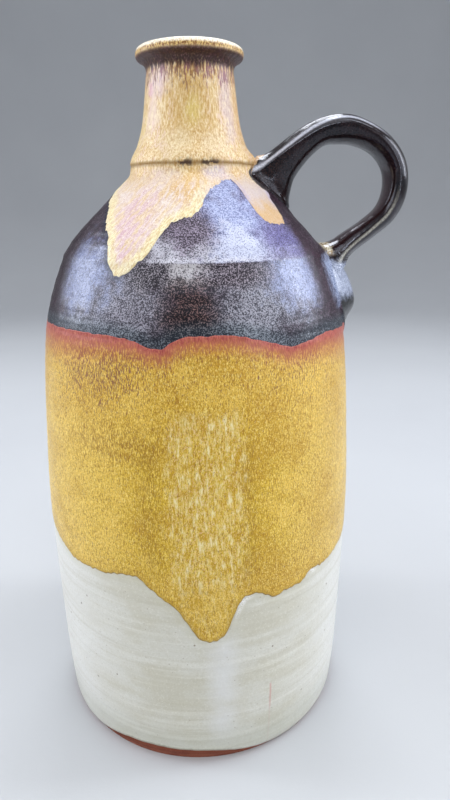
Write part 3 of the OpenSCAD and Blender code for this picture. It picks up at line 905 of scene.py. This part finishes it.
# Patches of the dark glaze, some of them painted highlights and reflections: azimuth, half width, height and
# half height; on which side of the ridge; how much of the pale grain shows; and the colours under the grain
# and of it
ABOVE, BELOW, BOTH = 1, -1, 0
DARK_PATCHES_AND_HIGHLIGHTS = [
    ((-26, 24, 222, 14), BELOW, 0.5, (60, 56, 64), (150, 146, 158)),
    # Mid grey at the right, partly a painted reflection of a light in front on the right.
    ((20, 20, 221, 16), BELOW, 0.54, (60, 58, 66), (158, 156, 166)),
    # Bluish haze at the left and right (this patch and the next), partly painted highlights of the side
    # lights.
    ((-47, 19, 233, 17), BOTH, 0.6, (64, 68, 96), (116, 124, 164)),
    ((42, 17, 232, 15), BELOW, 0.65, (82, 86, 112), (138, 146, 184)),
    # Pale band under the ridge in front, partly a painted highlight.
    ((-3, 13, 236, 7), BELOW, 0.68, (88, 84, 86), (190, 186, 188)),
    ((-16, 9, 235, 7), BELOW, 0.4, (30, 24, 30), (146, 138, 146)),
    ((15, 16, 235, 6), BELOW, 0.42, (34, 26, 32), (154, 142, 152)),
    ((-2, 11, 220, 15), BELOW, 0.33, (16, 8, 9), (128, 98, 94)),
    ((30, 34, 252, 26), ABOVE, 0.56, (84, 80, 112), (146, 142, 184)),
    # Pale band above the ridge: glaze breaking thin over it, partly a painted highlight.
    ((3, 36, 243, 8), ABOVE, 0.7, (104, 102, 110), (194, 192, 202)),
    # Blue-lilac haze between the runs (this patch and the next), partly a painted reflection of the light
    # overhead.
    ((20, 19, 258, 21), ABOVE, 0.6, (104, 110, 152), (176, 184, 218)),
    ((19, 13, 246, 10), ABOVE, 0.72, (128, 132, 162), (202, 206, 226)),
    ((-1, 13, 251, 9), ABOVE, 0.46, (46, 34, 44), (148, 134, 152)),
    ((41, 13, 247, 8), ABOVE, 0.52, (74, 68, 104), (136, 130, 180)),
    ((59, 9, 240, 30), BOTH, 0.38, (30, 16, 24), (98, 72, 88)),
    ((67, 14, 255, 14), ABOVE, 0.35, (32, 18, 26), (86, 62, 78)),
    ((-72, 16, 232, 30), BOTH, 0.35, (26, 14, 20), (66, 46, 58)),
    # Bluish patch on the wall beside the pad, a painted highlight.
    ((74, 9, 228, 14), BELOW, 0.6, (104, 112, 140), (160, 170, 196)),
]
# Width of the greenish rim along the lower edge of the dark glaze
DARK_RIM = 8


def dark_patches_and_highlights(g, f, over):
    """Share of the pale grain, and the colours under the grain and of it."""
    sides = {ABOVE: over, BELOW: g.inverse(over)}
    share, low, high = 0.4, (32, 22, 28), (96, 80, 92)
    for patch, side, cover, tone_low, tone_high in DARK_PATCHES_AND_HIGHLIGHTS:
        inside = f.zone(*patch)
        if side in sides:
            inside = g.times(inside, sides[side])
        share = g.add(share, g.times(inside, g.less(cover, share)))
        low = g.mix(inside, low, tone_low)
        high = g.mix(inside, high, tone_high)
    rim = g.ease(f.frayed(f.dark, 0.4), DARK_RIM, 2)
    low = g.mix(g.times(rim, 0.7), low, (30, 38, 46))
    return share, low, g.mix(g.times(rim, 0.6), high, (104, 120, 126))


def dark_colours(g, f):
    """Near-black iron glaze under a fine pale grain, with highlights painted in some patches and along the
    ridge, and the share of the grain.
    """
    grit = g.streaks(f.real, 1.8, 1.8, 2, 3.0, 0.65)
    cloud = g.streaks(f.real, 0.3, 0.3, 7, 3.0, 0.6)
    over = g.ease(f.frayed(f.h, 0.12), SEAM_H - 0.2, SEAM_H + 0.8)
    share, low, high = dark_patches_and_highlights(g, f, over)
    share = g.add(share, g.times(g.less(cloud, 0.5), 0.5))
    pale = g.ease(g.less(g.add(grit, g.times(share, 0.3)), 0.66), -0.04, 0.045)
    g.base = g.mix(pale, low, high)
    # Pale line along the top of the ridge at the seam, where it faces the lights: partly the glaze breaking
    # thin, partly a painted highlight.
    crest_highlight = g.times(over, (f.frayed(f.h, 0.3), SEAM_H + 3.2, SEAM_H + 0.8))
    lit = g.add(g.peak(f.az, -9, 8), g.peak(f.az, 17, 15))
    g.over((222, 220, 228), crest_highlight, lit, (grit, 0.42, 0.54), 0.75)
    notch = g.times((f.frayed(f.strap, 0.4), 8, 4.5), g.peak(f.h, FOOT_NOTCH_H + 1, 8))
    g.over((226, 214, 182), notch, (cloud, 0.36, 0.46, 0.5, 1.0))
    g.over((40, 38, 52), (f.tan, -2.6, -0.6), (f.az, -22, -30), 0.8)
    return pale


# Patches of the neck and collar: azimuth, half width, height and half height, strength, and colour
NECK_PATCHES = [
    ((0, 36, 300, 20), 0.8, (206, 166, 88)),
    # Painted glint: a small bright yellow spot on the front of the neck.
    ((2, 10, 299, 7), 0.55, (238, 218, 128)),
    ((-20, 26, 286, 7), 0.45, (240, 224, 188)),
    ((24, 20, 286, 7), 0.45, (242, 226, 196)),
    ((-72, 26, 292, 14), 0.6, (228, 206, 134)),
    ((-46, 22, 312, 7), 0.75, (218, 198, 212)),
    ((-50, 14, 298, 10), 0.55, (230, 210, 206)),
    ((-58, 8, 309, 4), 0.7, (208, 148, 170)),
    ((47, 15, 301, 16), 0.6, (194, 176, 196)),
    ((74, 20, 298, 20), 0.6, (208, 158, 104)),
    ((-24, 20, 272, 5), 0.6, (220, 208, 212)),
    ((0, 12, 270, 9), 0.7, (224, 184, 108)),
    ((22, 16, 274, 4), 0.7, (202, 196, 222)),
]


def leaning(g, f):
    """Flow space that leans the way the runs over the shoulder do."""
    x, y, length = g.split(f.flow)
    lean = g.times((f.az, -15, 35, -0.62, 0.5), g.less(length, COLLAR_START))
    lean = g.times(lean, (f.around, 150, 100))
    return g.node("ShaderNodeCombineXYZ", {0: g.add(x, lean), 1: y, 2: length}).outputs[0]


def right_run_colours(g, f, fine):
    """Smooth run beside the handle: grey-lilac above, ochre at its tip."""
    low = g.ease(f.swayed(f.h, 14.0), 266, 257)
    run = g.mix(low, (202, 188, 186), (206, 168, 116))
    run = g.mix(g.times((fine, 0.53, 0.62), 0.4), run, (228, 210, 188))
    run = g.mix(g.times((f.tan, 3, 1), g.inverse(low)), run, (188, 176, 198))
    g.over(run, (f.az, 31, 37), (f.az, 100, 75), 0.85)


def tongue_colours(g, f):
    """Runs over the shoulder: leaning streaks of cream, gold and pink with a yellow-cream border."""
    flow = leaning(g, f)
    stroke = g.streaks(flow, 1.1, 0.4, 2, 4.0, 0.7)
    broad = g.streaks(flow, 0.26, 0.09, 9, 3.0, 0.6)
    fine = g.streaks(f.real, 1.9, 1.4, 4, 3.0, 0.65)
    g.over(g.mix((broad, 0.42, 0.58), (222, 198, 162), (226, 212, 210)), 0.75)
    g.over((214, 170, 92), f.zone(-4, 18, 269, 9), (broad, 0.62, 0.42), 0.8)
    rosy = f.zone(-32, 14, 252, 20)
    g.over((212, 176, 192), rosy, (broad, 0.42, 0.53), 0.6)
    g.over((196, 136, 152), rosy, (broad, 0.56, 0.62), (fine, 0.56, 0.46), 0.45)
    g.over((244, 236, 232), (stroke, 0.52, 0.62), 0.5)
    g.over((190, 146, 142), (stroke, 0.48, 0.38), 0.45)
    g.over((248, 240, 224), (fine, 0.54, 0.62), 0.35)
    border = g.ease(f.frayed(f.tan, 1.4), 6.0, 2.5)
    bordered = g.math("MAXIMUM", g.ease(f.az, 16, 0), g.ease(f.az, 80, 110))
    cream = g.mix((stroke, 0.4, 0.56), (218, 194, 134), (242, 234, 192))
    g.over(cream, border, bordered, 0.8)
    right_run_colours(g, f, fine)
    g.over((178, 136, 104), (fine, 0.46, 0.37), 0.45)


def lip_colours(g, f, fine, wide):
    """Brown band that runs down from under the lip, and the pale lip with its brown specks, its top partly a
    painted highlight.
    """
    ragged = g.times(g.less(g.streaks(f.real, 1.1, 0.2, 6, 3.0, 0.6), 0.5), 46.0)
    reach = g.add(g.add(f.h, ragged), g.times(g.less(fine, 0.5), 14.0))
    under_lip = g.ease(f.h, TOP_H - LIP_H + 1.8, TOP_H - LIP_H - 0.2)
    violet = g.mix((wide, 0.45, 0.55), (118, 66, 46), (128, 66, 88))
    g.over(violet, (reach, TOP_H - 15, TOP_H - 9), under_lip, 0.8)
    deep = g.times((g.add(f.h, g.times(ragged, 0.16)), TOP_H - 10.5, TOP_H - 7.5), under_lip)
    g.over((50, 26, 24), deep, (fine, 0.66, 0.5, 0.5, 0.96))
    lip = g.ease(f.frayed(f.h, 0.2), TOP_H - LIP_H + 0.6, TOP_H - LIP_H + 1.8)
    low_lip = g.mix((fine, 0.42, 0.58), (126, 78, 36), (230, 196, 124))
    # The lip's top is pale cream, its near-white specks a painted highlight.
    lip_top_and_highlight = g.mix((fine, 0.34, 0.5), (206, 168, 112), (252, 243, 224))
    g.over(g.mix((f.frayed(f.h, 0.3), TOP_H - 1.8, TOP_H - 0.7), low_lip, lip_top_and_highlight), lip)


def neck_line_colours(g, f):
    """Brown line where the neck stands on the collar, with dark blots in front."""
    g.over((138, 102, 38), g.peak(f.frayed(f.h, 0.2), NECK_H - 0.2, 1.8), 0.75)
    blots = g.ease(g.streaks(f.real, 0.5, 0.6, 5), 0.42, 0.52)
    places = g.ease(g.add(g.peak(f.az, -6, 9), g.peak(f.az, 16, 12)), 0.05, 0.5)
    g.over((54, 32, 28), g.peak(f.frayed(f.h, 0.3), NECK_H - 0.1, 2.8), blots, places, 0.9)


def tan_colours(g, f):
    """Tan glaze: fine upright streaks of ochre, cream, pink and lilac, and dark clay at the strap's root."""
    streak = g.streaks(f.real, 1.5, 0.26, 0, 4.0, 0.68)
    fine = g.streaks(f.real, 1.9, 0.9, 4, 3.0, 0.65)
    wide = g.streaks(f.real, 0.35, 0.07, 8, 2.0, 0.5)
    g.base = g.mix((streak, 0.42, 0.58), (212, 174, 112), (230, 206, 160))
    for patch, strength, tone in NECK_PATCHES:
        g.over(tone, f.zone(*patch), (streak, 0.62, 0.4, 0.6, 1.0), strength)
    mottled = g.ease(f.h, 298, 286, 0.25, 0.5)
    g.over((248, 230, 192), (streak, 0.53, 0.62), 0.4)
    g.over((176, 124, 68), (streak, 0.46, 0.38), 0.4)
    g.over((248, 234, 202), (fine, 0.53, 0.64), mottled)
    g.over((176, 126, 72), (fine, 0.47, 0.37), mottled)
    pink = g.times((wide, 0.48, 0.6), (streak, 0.44, 0.56), (f.around, 12, 34))
    g.over((214, 176, 186), pink, 0.35)
    neck = g.base
    tongue_colours(g, f)
    g.base = g.mix((f.swayed(f.h, 10.0), NECK_H - 3, NECK_H - 12), neck, g.base)
    lip_colours(g, f, fine, wide)
    neck_line_colours(g, f)
    reach = g.ease(f.h, 286, 268, 0.6, 3.4)
    root = g.ease(g.less(f.frayed(f.strap, 0.15), reach), 0.4, -0.4)
    g.over(g.mix((fine, 0.5, 0.6), (26, 18, 20), (86, 72, 74)), root, (f.h, 288, 284))


def glaze_bump(g, f, fine_size, peel_size):
    """Fine uneven skin of fired glaze, over shallow waves."""
    waves_wide = g.bump(g.streaks(f.flow, 0.1, 0.1, 3), 0.8, 0.5)
    peel = g.bump(g.streaks(f.flow, 0.45, 0.45, 5), peel_size, 1.0, waves_wide)
    return g.bump(g.streaks(f.flow, 1.5, 1.5, 7, 2.0, 0.6), fine_size, 1.0, peel)


def glaze_material(name, colours, across, rough, relief, level):
    """Glaze whose roughness wanders between two values, at a count per millimetre across its flow."""
    g = Graph(name)
    f = GlazeFields(g)
    wandering = g.ease(g.streaks(f.flow, across, 0.5, 2), 0.3, 0.7, *rough)
    colours(g, f)
    return g.finish(wandering, glaze_bump(g, f, relief, 0.1), level)


DARK_SHEEN = (0.82, 0.87, 1.0, 1)


def dark_material():
    g = Graph("dark_iron_glaze")
    f = GlazeFields(g)
    pale = dark_colours(g, f)
    lit = g.math("MAXIMUM", f.zone(-47, 24, 231, 22), f.zone(42, 22, 230, 20))
    rough = g.ease(g.streaks(f.flow, 0.5, 0.5, 3), 0.3, 0.7, 0.24, 0.33)
    rough = g.add(rough, g.times(g.inverse(pale), 0.08))
    level = g.add(g.add(0.25, g.times(pale, 0.15)), g.times(lit, 0.38))
    level = g.times(level, g.inverse(g.times((f.around, 54, 68), 0.75)))
    return g.finish(rough, glaze_bump(g, f, 0.04, 0.12), level, 1.6, DARK_SHEEN)


class StrapFields:
    """Where a point of the handle lies: step along the strap, side round it, place, and gap to the wall."""

    def __init__(self, g):
        self.mm = g.millimetres()
        self.step, self.side, self.outside = g.split(g.attribute("place"))
        self.x, self.y, self.h = g.split(self.mm)
        self.speck = g.noise(self.mm, 1.6, 2.0, 0.6)
        self.uneven = g.less(g.noise(self.mm, 0.5, 3.0), 0.5)


def strap_colours(g, f):
    """Near-black glaze with a rusty root and a reddish inner side."""
    patch = g.noise(f.mm, 0.07, 3.0, 0.55)
    g.base = g.mix((patch, 0.38, 0.62), (14, 10, 12), (30, 20, 22))
    g.over((80, 58, 54), (f.speck, 0.54, 0.66), 0.3)
    rusty = g.times((f.step, 3, 1.6), g.peak(f.side, 0.5, 0.2))
    g.over((66, 48, 44), rusty, (g.noise(f.mm, 1.2, 4.0, 0.7), 0.46, 0.6), 0.6)
    g.over((74, 32, 36), g.peak(f.side, 0.75, 0.22), (f.step, 6, 8), 0.5)


def ridge_break_and_highlight_colours(g, f):
    """Glaze drawn thin and pale along the strap's ridges, partly painted highlights."""
    off_middle = g.away(f.side, 0.25)
    from_crest = g.less(off_middle, g.ease(f.step, 1.5, 4.5, 0.185, 0.13))
    # Pale line along the crest of the strap, partly a painted highlight.
    crest_highlight = g.times(g.peak(from_crest, 0.0, 0.04), (f.step, 0.5, 1.1), (f.step, 6, 4.5))
    g.over((206, 208, 220), crest_highlight, (f.speck, 0.36, 0.56, 0.5, 0.95))
    # Pale lines along the edges of the lower strap, partly a painted highlight.
    low = g.times(g.peak(off_middle, 0.24, 0.035), (f.step, 7.5, 9.5), (f.step, 13.2, 12.4))
    g.over((196, 192, 178), low, (f.speck, 0.36, 0.56, 0.3, 0.8))


def pad_highlight_and_shade_colours(g, f):
    """Painted blue-white highlight over the upper face of the pad on its near side, and painted dark shade
    below, with the share of the highlight.
    """
    h = g.add(f.h, g.times(f.uneven, 5.0))
    top = g.less(g.add(h, g.times(f.x, 0.22)), 0.22 * BELLY_R)
    pad_highlight = g.times((h, 215.5, 222), (top, 234.5, 230.5), (f.step, 11, 12))
    pad_highlight = g.times(pad_highlight, (f.x, BELLY_R + 4.5, BELLY_R - 1.5, 0.3, 1.0), (f.y, 6, -9, 0.15, 1.0))
    # Painted shade under the pad.
    g.over((30, 30, 26), (h, 222, 215.5), (f.step, 11, 12), 0.8)
    # Painted highlight on the pad's upper face.
    g.over(g.mix((f.speck, 0.4, 0.6), (136, 144, 168), (186, 194, 214)), pad_highlight, 0.9)
    return pad_highlight


def joint_colours(g, f):
    """Tan glaze run over the strap's root, with its share, and cream glaze pooled at its foot."""
    creep = g.add(f.outside, g.times(f.uneven, 4.0))
    on_top = g.times(g.peak(f.side, 0.25, 0.27), 7.0)
    tan = g.times((g.less(creep, on_top), 0.6, -0.6), (f.step, 4, 3))
    g.over(g.mix((g.noise(f.mm, 0.9, 3.0), 0.42, 0.58), (184, 146, 100), (212, 186, 150)), tan)
    pool = g.times((creep, 6.4, 4.4), (g.away(f.side, 0.66), 0.34, 0.24),
                   (f.step, 9.5, 10.5), (f.h, 237, 240))
    g.over(g.mix((g.noise(f.mm, 0.6, 3.0), 0.42, 0.58), (176, 150, 110), (236, 228, 206)), pool)
    return tan


def handle_material():
    """Dark glaze of strap and pad, with small pits, a painted highlight and shade on the pad, and pale ridge
    lines that are partly painted highlights.
    """
    g = Graph("dark_handle_glaze")
    f = StrapFields(g)
    strap_colours(g, f)
    ridge_break_and_highlight_colours(g, f)
    pad_highlight = pad_highlight_and_shade_colours(g, f)
    tan = joint_colours(g, f)
    pits = g.ease(f.speck, 0.46, 0.36)
    rough = g.add(g.ease(g.noise(f.mm, 0.5), 0.3, 0.7, 0.1, 0.17), g.times(pits, 0.12))
    rough = g.add(rough, g.add(g.times(pad_highlight, 0.16), g.times(tan, 0.25)))
    level = g.less(g.ease(f.step, 5, 8, 0.42, 0.65), g.times(pits, 0.25))
    peel = g.bump(g.noise(f.mm, 0.45), 0.07, 1.0, g.bump(g.noise(f.mm, 0.1), 0.7, 0.5))
    normal = g.bump(g.noise(f.mm, 1.5, 2.0, 0.6), 0.025, 1.0, peel)
    return g.finish(rough, normal, level, 1.5, DARK_SHEEN)


def clay_material():
    """Bare red-brown stoneware: gritty, dry, darker where the glaze has flashed it."""
    g = Graph("bare_red_clay")
    mm = g.millimetres()
    h = g.split(mm)[2]
    grain = g.noise(mm, 1.8, 4.0, 0.7)
    patch = g.noise(mm, 0.09, 3.0, 0.6)
    g.base = g.mix((patch, 0.35, 0.65), (132, 66, 46), (158, 88, 62))
    g.over((188, 128, 98), (grain, 0.5, 0.7), 0.5)
    g.over((94, 44, 32), (grain, 0.45, 0.32), 0.6)
    g.over((100, 44, 32), (h, 2.2, 4.6, 0.0, 0.5))
    turning = g.node("ShaderNodeTexWave", {"Vector": mm, "Scale": 0.09, "Distortion": 1.2, "Detail": 2.0},
                     wave_type="RINGS", rings_direction="Z").outputs["Fac"]
    return g.finish(0.82, g.bump(grain, 0.12, 1.0, g.bump(turning, 0.12, 0.7)), 0.3)


def liner_material():
    g = Graph("brown_liner_glaze")
    mm = g.millimetres()
    cloud = g.noise(mm, 0.06, 4.0, 0.6)
    fine = g.noise(mm, 1.4, 2.0, 0.6)
    g.base = g.mix((cloud, 0.35, 0.65), (92, 74, 54), (132, 112, 82))
    g.over((160, 142, 110), (fine, 0.55, 0.7), 0.4)
    return g.finish(0.35, g.bump(fine, 0.08))


# Stage, lights and camera, in metres

STAGE_COLOURS = (186, 188, 191), (196, 198, 200)
STAGE_FLOOR_R, STAGE_BEND, STAGE_TOP, STAGE_SIDES = 1.3, 0.9, 3.2, 128
SKY_COLOUR = colour(240, 244, 255)
SKY_LEVEL = 0.37

LENS_PX, IMAGE_H, SENSOR = 601, 800, 36.0
CAMERA_DISTANCE, CAMERA_HEIGHT = 0.3029, 0.2605
PITCH, YAW, ROLL = 17.88, -2.73, -0.52


def make_stage():
    """Round pale floor that bends up into a backdrop on every side."""
    g = Graph("pale_stage")
    mm = g.millimetres()
    g.base = g.mix(g.noise(mm, 0.004, 3.0), *STAGE_COLOURS)
    material = g.finish(0.8, g.bump(g.noise(mm, 0.6, 3.0), 0.05), 0.2)
    turn = np.linspace(0, math.pi / 2, 24)
    radius = np.append(STAGE_FLOOR_R + STAGE_BEND * np.sin(turn), STAGE_FLOOR_R + STAGE_BEND)
    up = np.append(STAGE_BEND * (1 - np.cos(turn)), STAGE_TOP)
    az = np.linspace(0, 360, STAGE_SIDES, endpoint=False)[None]
    points = turned(radius[:, None], np.broadcast_to(up[:, None], (len(up), STAGE_SIDES)), az)
    faces = ring_faces(len(up), STAGE_SIDES, False) + [tuple(reversed(range(STAGE_SIDES)))]
    make_object("stage", points.reshape(-1, 3) / MM, faces, material)


def make_world():
    world = bpy.data.worlds.new("studio")
    bpy.context.scene.world = world
    world.use_nodes = True
    background = world.node_tree.nodes["Background"]
    background.inputs[0].default_value = SKY_COLOUR
    background.inputs[1].default_value = SKY_LEVEL


# Soft lights: name, azimuth and elevation in degrees, distance, half angles across and up, radiance, tint
COOL, PLAIN = colour(244, 248, 255), colour(255, 253, 248)
LIGHT_AIM_H = 0.2
LIGHTS = [
    ("right", 84, 24, 1.2, 30, 17, 2.1, COOL),
    ("right_strip", 92, 26, 1.15, 5, 18, 7, COOL),
    ("upper_right", 96, 60, 1.2, 14, 9, 1.0, COOL),
    ("upper_right_strip", 94, 62, 1.15, 4, 12, 6, COOL),
    ("left", -94, 24, 1.2, 28, 17, 2.6, COOL),
    ("left_strip", -98, 26, 1.15, 4, 18, 6, COOL),
    ("upper_left_strip", -92, 62, 1.15, 4, 12, 4, COOL),
    ("top", 90, 86, 1.1, 20, 16, 1.7, COOL),
    ("behind_strip", 176, 51, 1.2, 12, 9, 8, COOL),
    ("front_top_strip", 4, 48, 1.2, 12, 3.2, 11, COOL),
    ("front_right_strip", 42, 10, 1.2, 2, 15, 7, COOL),
    ("front_right", 42, 28, 1.3, 13, 13, 0.95, PLAIN),
    ("front_left", -48, 28, 1.3, 16, 13, 1.9, PLAIN),
    ("front_top", 0, 62, 1.6, 20, 12, 1.15, PLAIN),
]


def make_light(name, az, up, distance, half_across, half_high, radiance, tint):
    """Soft light that faces the jug."""
    a, e = math.radians(az), math.radians(up)
    away = Vector((math.sin(a) * math.cos(e), -math.cos(a) * math.cos(e), math.sin(e)))
    data = bpy.data.lights.new(name, "AREA")
    data.shape = "RECTANGLE"
    data.size = 2 * distance * math.tan(math.radians(half_across))
    data.size_y = 2 * distance * math.tan(math.radians(half_high))
    data.energy = radiance * math.pi * data.size * data.size_y
    data.color = tint[:3]
    made = bpy.data.objects.new(name, data)
    made.location = Vector((0, 0, LIGHT_AIM_H)) + away * distance
    made.rotation_euler = (-away).to_track_quat("-Z", "Y").to_euler()
    made.visible_camera = False
    bpy.context.scene.collection.objects.link(made)


def make_camera():
    data = bpy.data.cameras.new("camera")
    data.sensor_fit = "AUTO"
    data.sensor_width = SENSOR
    data.lens = LENS_PX / IMAGE_H * SENSOR
    data.clip_start, data.clip_end = 0.01, 50
    camera = bpy.data.objects.new("camera", data)
    camera.location = (0, -CAMERA_DISTANCE, CAMERA_HEIGHT)
    turn = Euler((math.radians(90 - PITCH), 0, math.radians(YAW)), "XYZ").to_matrix()
    roll = Euler((0, 0, math.radians(ROLL)), "XYZ").to_matrix()
    camera.rotation_euler = (turn @ roll).to_euler()
    bpy.context.scene.collection.objects.link(camera)
    bpy.context.scene.camera = camera


# Finish of the glazes: counts per millimetre of the waves in their roughness, roughness from and to, size
# of the fine relief, and level of the gloss
PALE_FINISH = (0.5, (0.3, 0.42), 0.03, 0.5)
AMBER_FINISH = (0.9, (0.28, 0.42), 0.04, 0.35)
TAN_FINISH = (0.9, (0.32, 0.48), 0.05, 0.4)
# Rows of points up each skin; the tan one has a stretch over the shoulder and one from the collar up
PALE_ROWS, AMBER_ROWS, DARK_ROWS, TONGUE_ROWS, NECK_ROWS = 97, 113, 97, 49, 153


def make_jug():
    trees = make_handle_and_pad(handle_material())
    pale = glaze_material("pale_base_glaze", base_colours, *PALE_FINISH)
    grid = spread(FOOT_EDGE, AMBER_EDGE, PALE_ROWS)
    skin("pale_glaze_skin", "base_glaze", pale, grid, trees)
    amber = glaze_material("amber_glaze", amber_colours, *AMBER_FINISH)
    grid = spread(AMBER_EDGE, DARK_EDGE, AMBER_ROWS)
    skin("amber_glaze_skin", "amber_glaze", amber, grid, trees)
    grid = spread(DARK_EDGE, TAN_EDGE, DARK_ROWS)
    skin("dark_glaze_skin", "dark_glaze", dark_material(), grid, trees)
    tan = glaze_material("tan_streaked_glaze", tan_colours, *TAN_FINISH)
    lower = spread(TAN_EDGE, COLLAR_START, TONGUE_ROWS)[:-1]
    upper = np.repeat(np.linspace(COLLAR_START, MOUTH_END, NECK_ROWS)[:, None], COLUMNS, axis=1)
    skin("tan_glaze_skin", "neck_glaze", tan, np.concatenate([lower, upper]), trees)


def dress_nodes():
    """Materials of the CAD nodes that stay."""
    clay, liner = clay_material(), liner_material()
    for node, material in (("body", clay), ("shoulder", clay), ("neck", clay), ("liner_glaze", liner)):
        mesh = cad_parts[node].data
        mesh.materials.clear()
        mesh.materials.append(material)


dress_nodes()
make_jug()
make_stage()
make_world()
for light in LIGHTS:
    make_light(*light)
make_camera()
bpy.context.scene.view_settings.view_transform = "Standard"

bpy.context.view_layer.update()
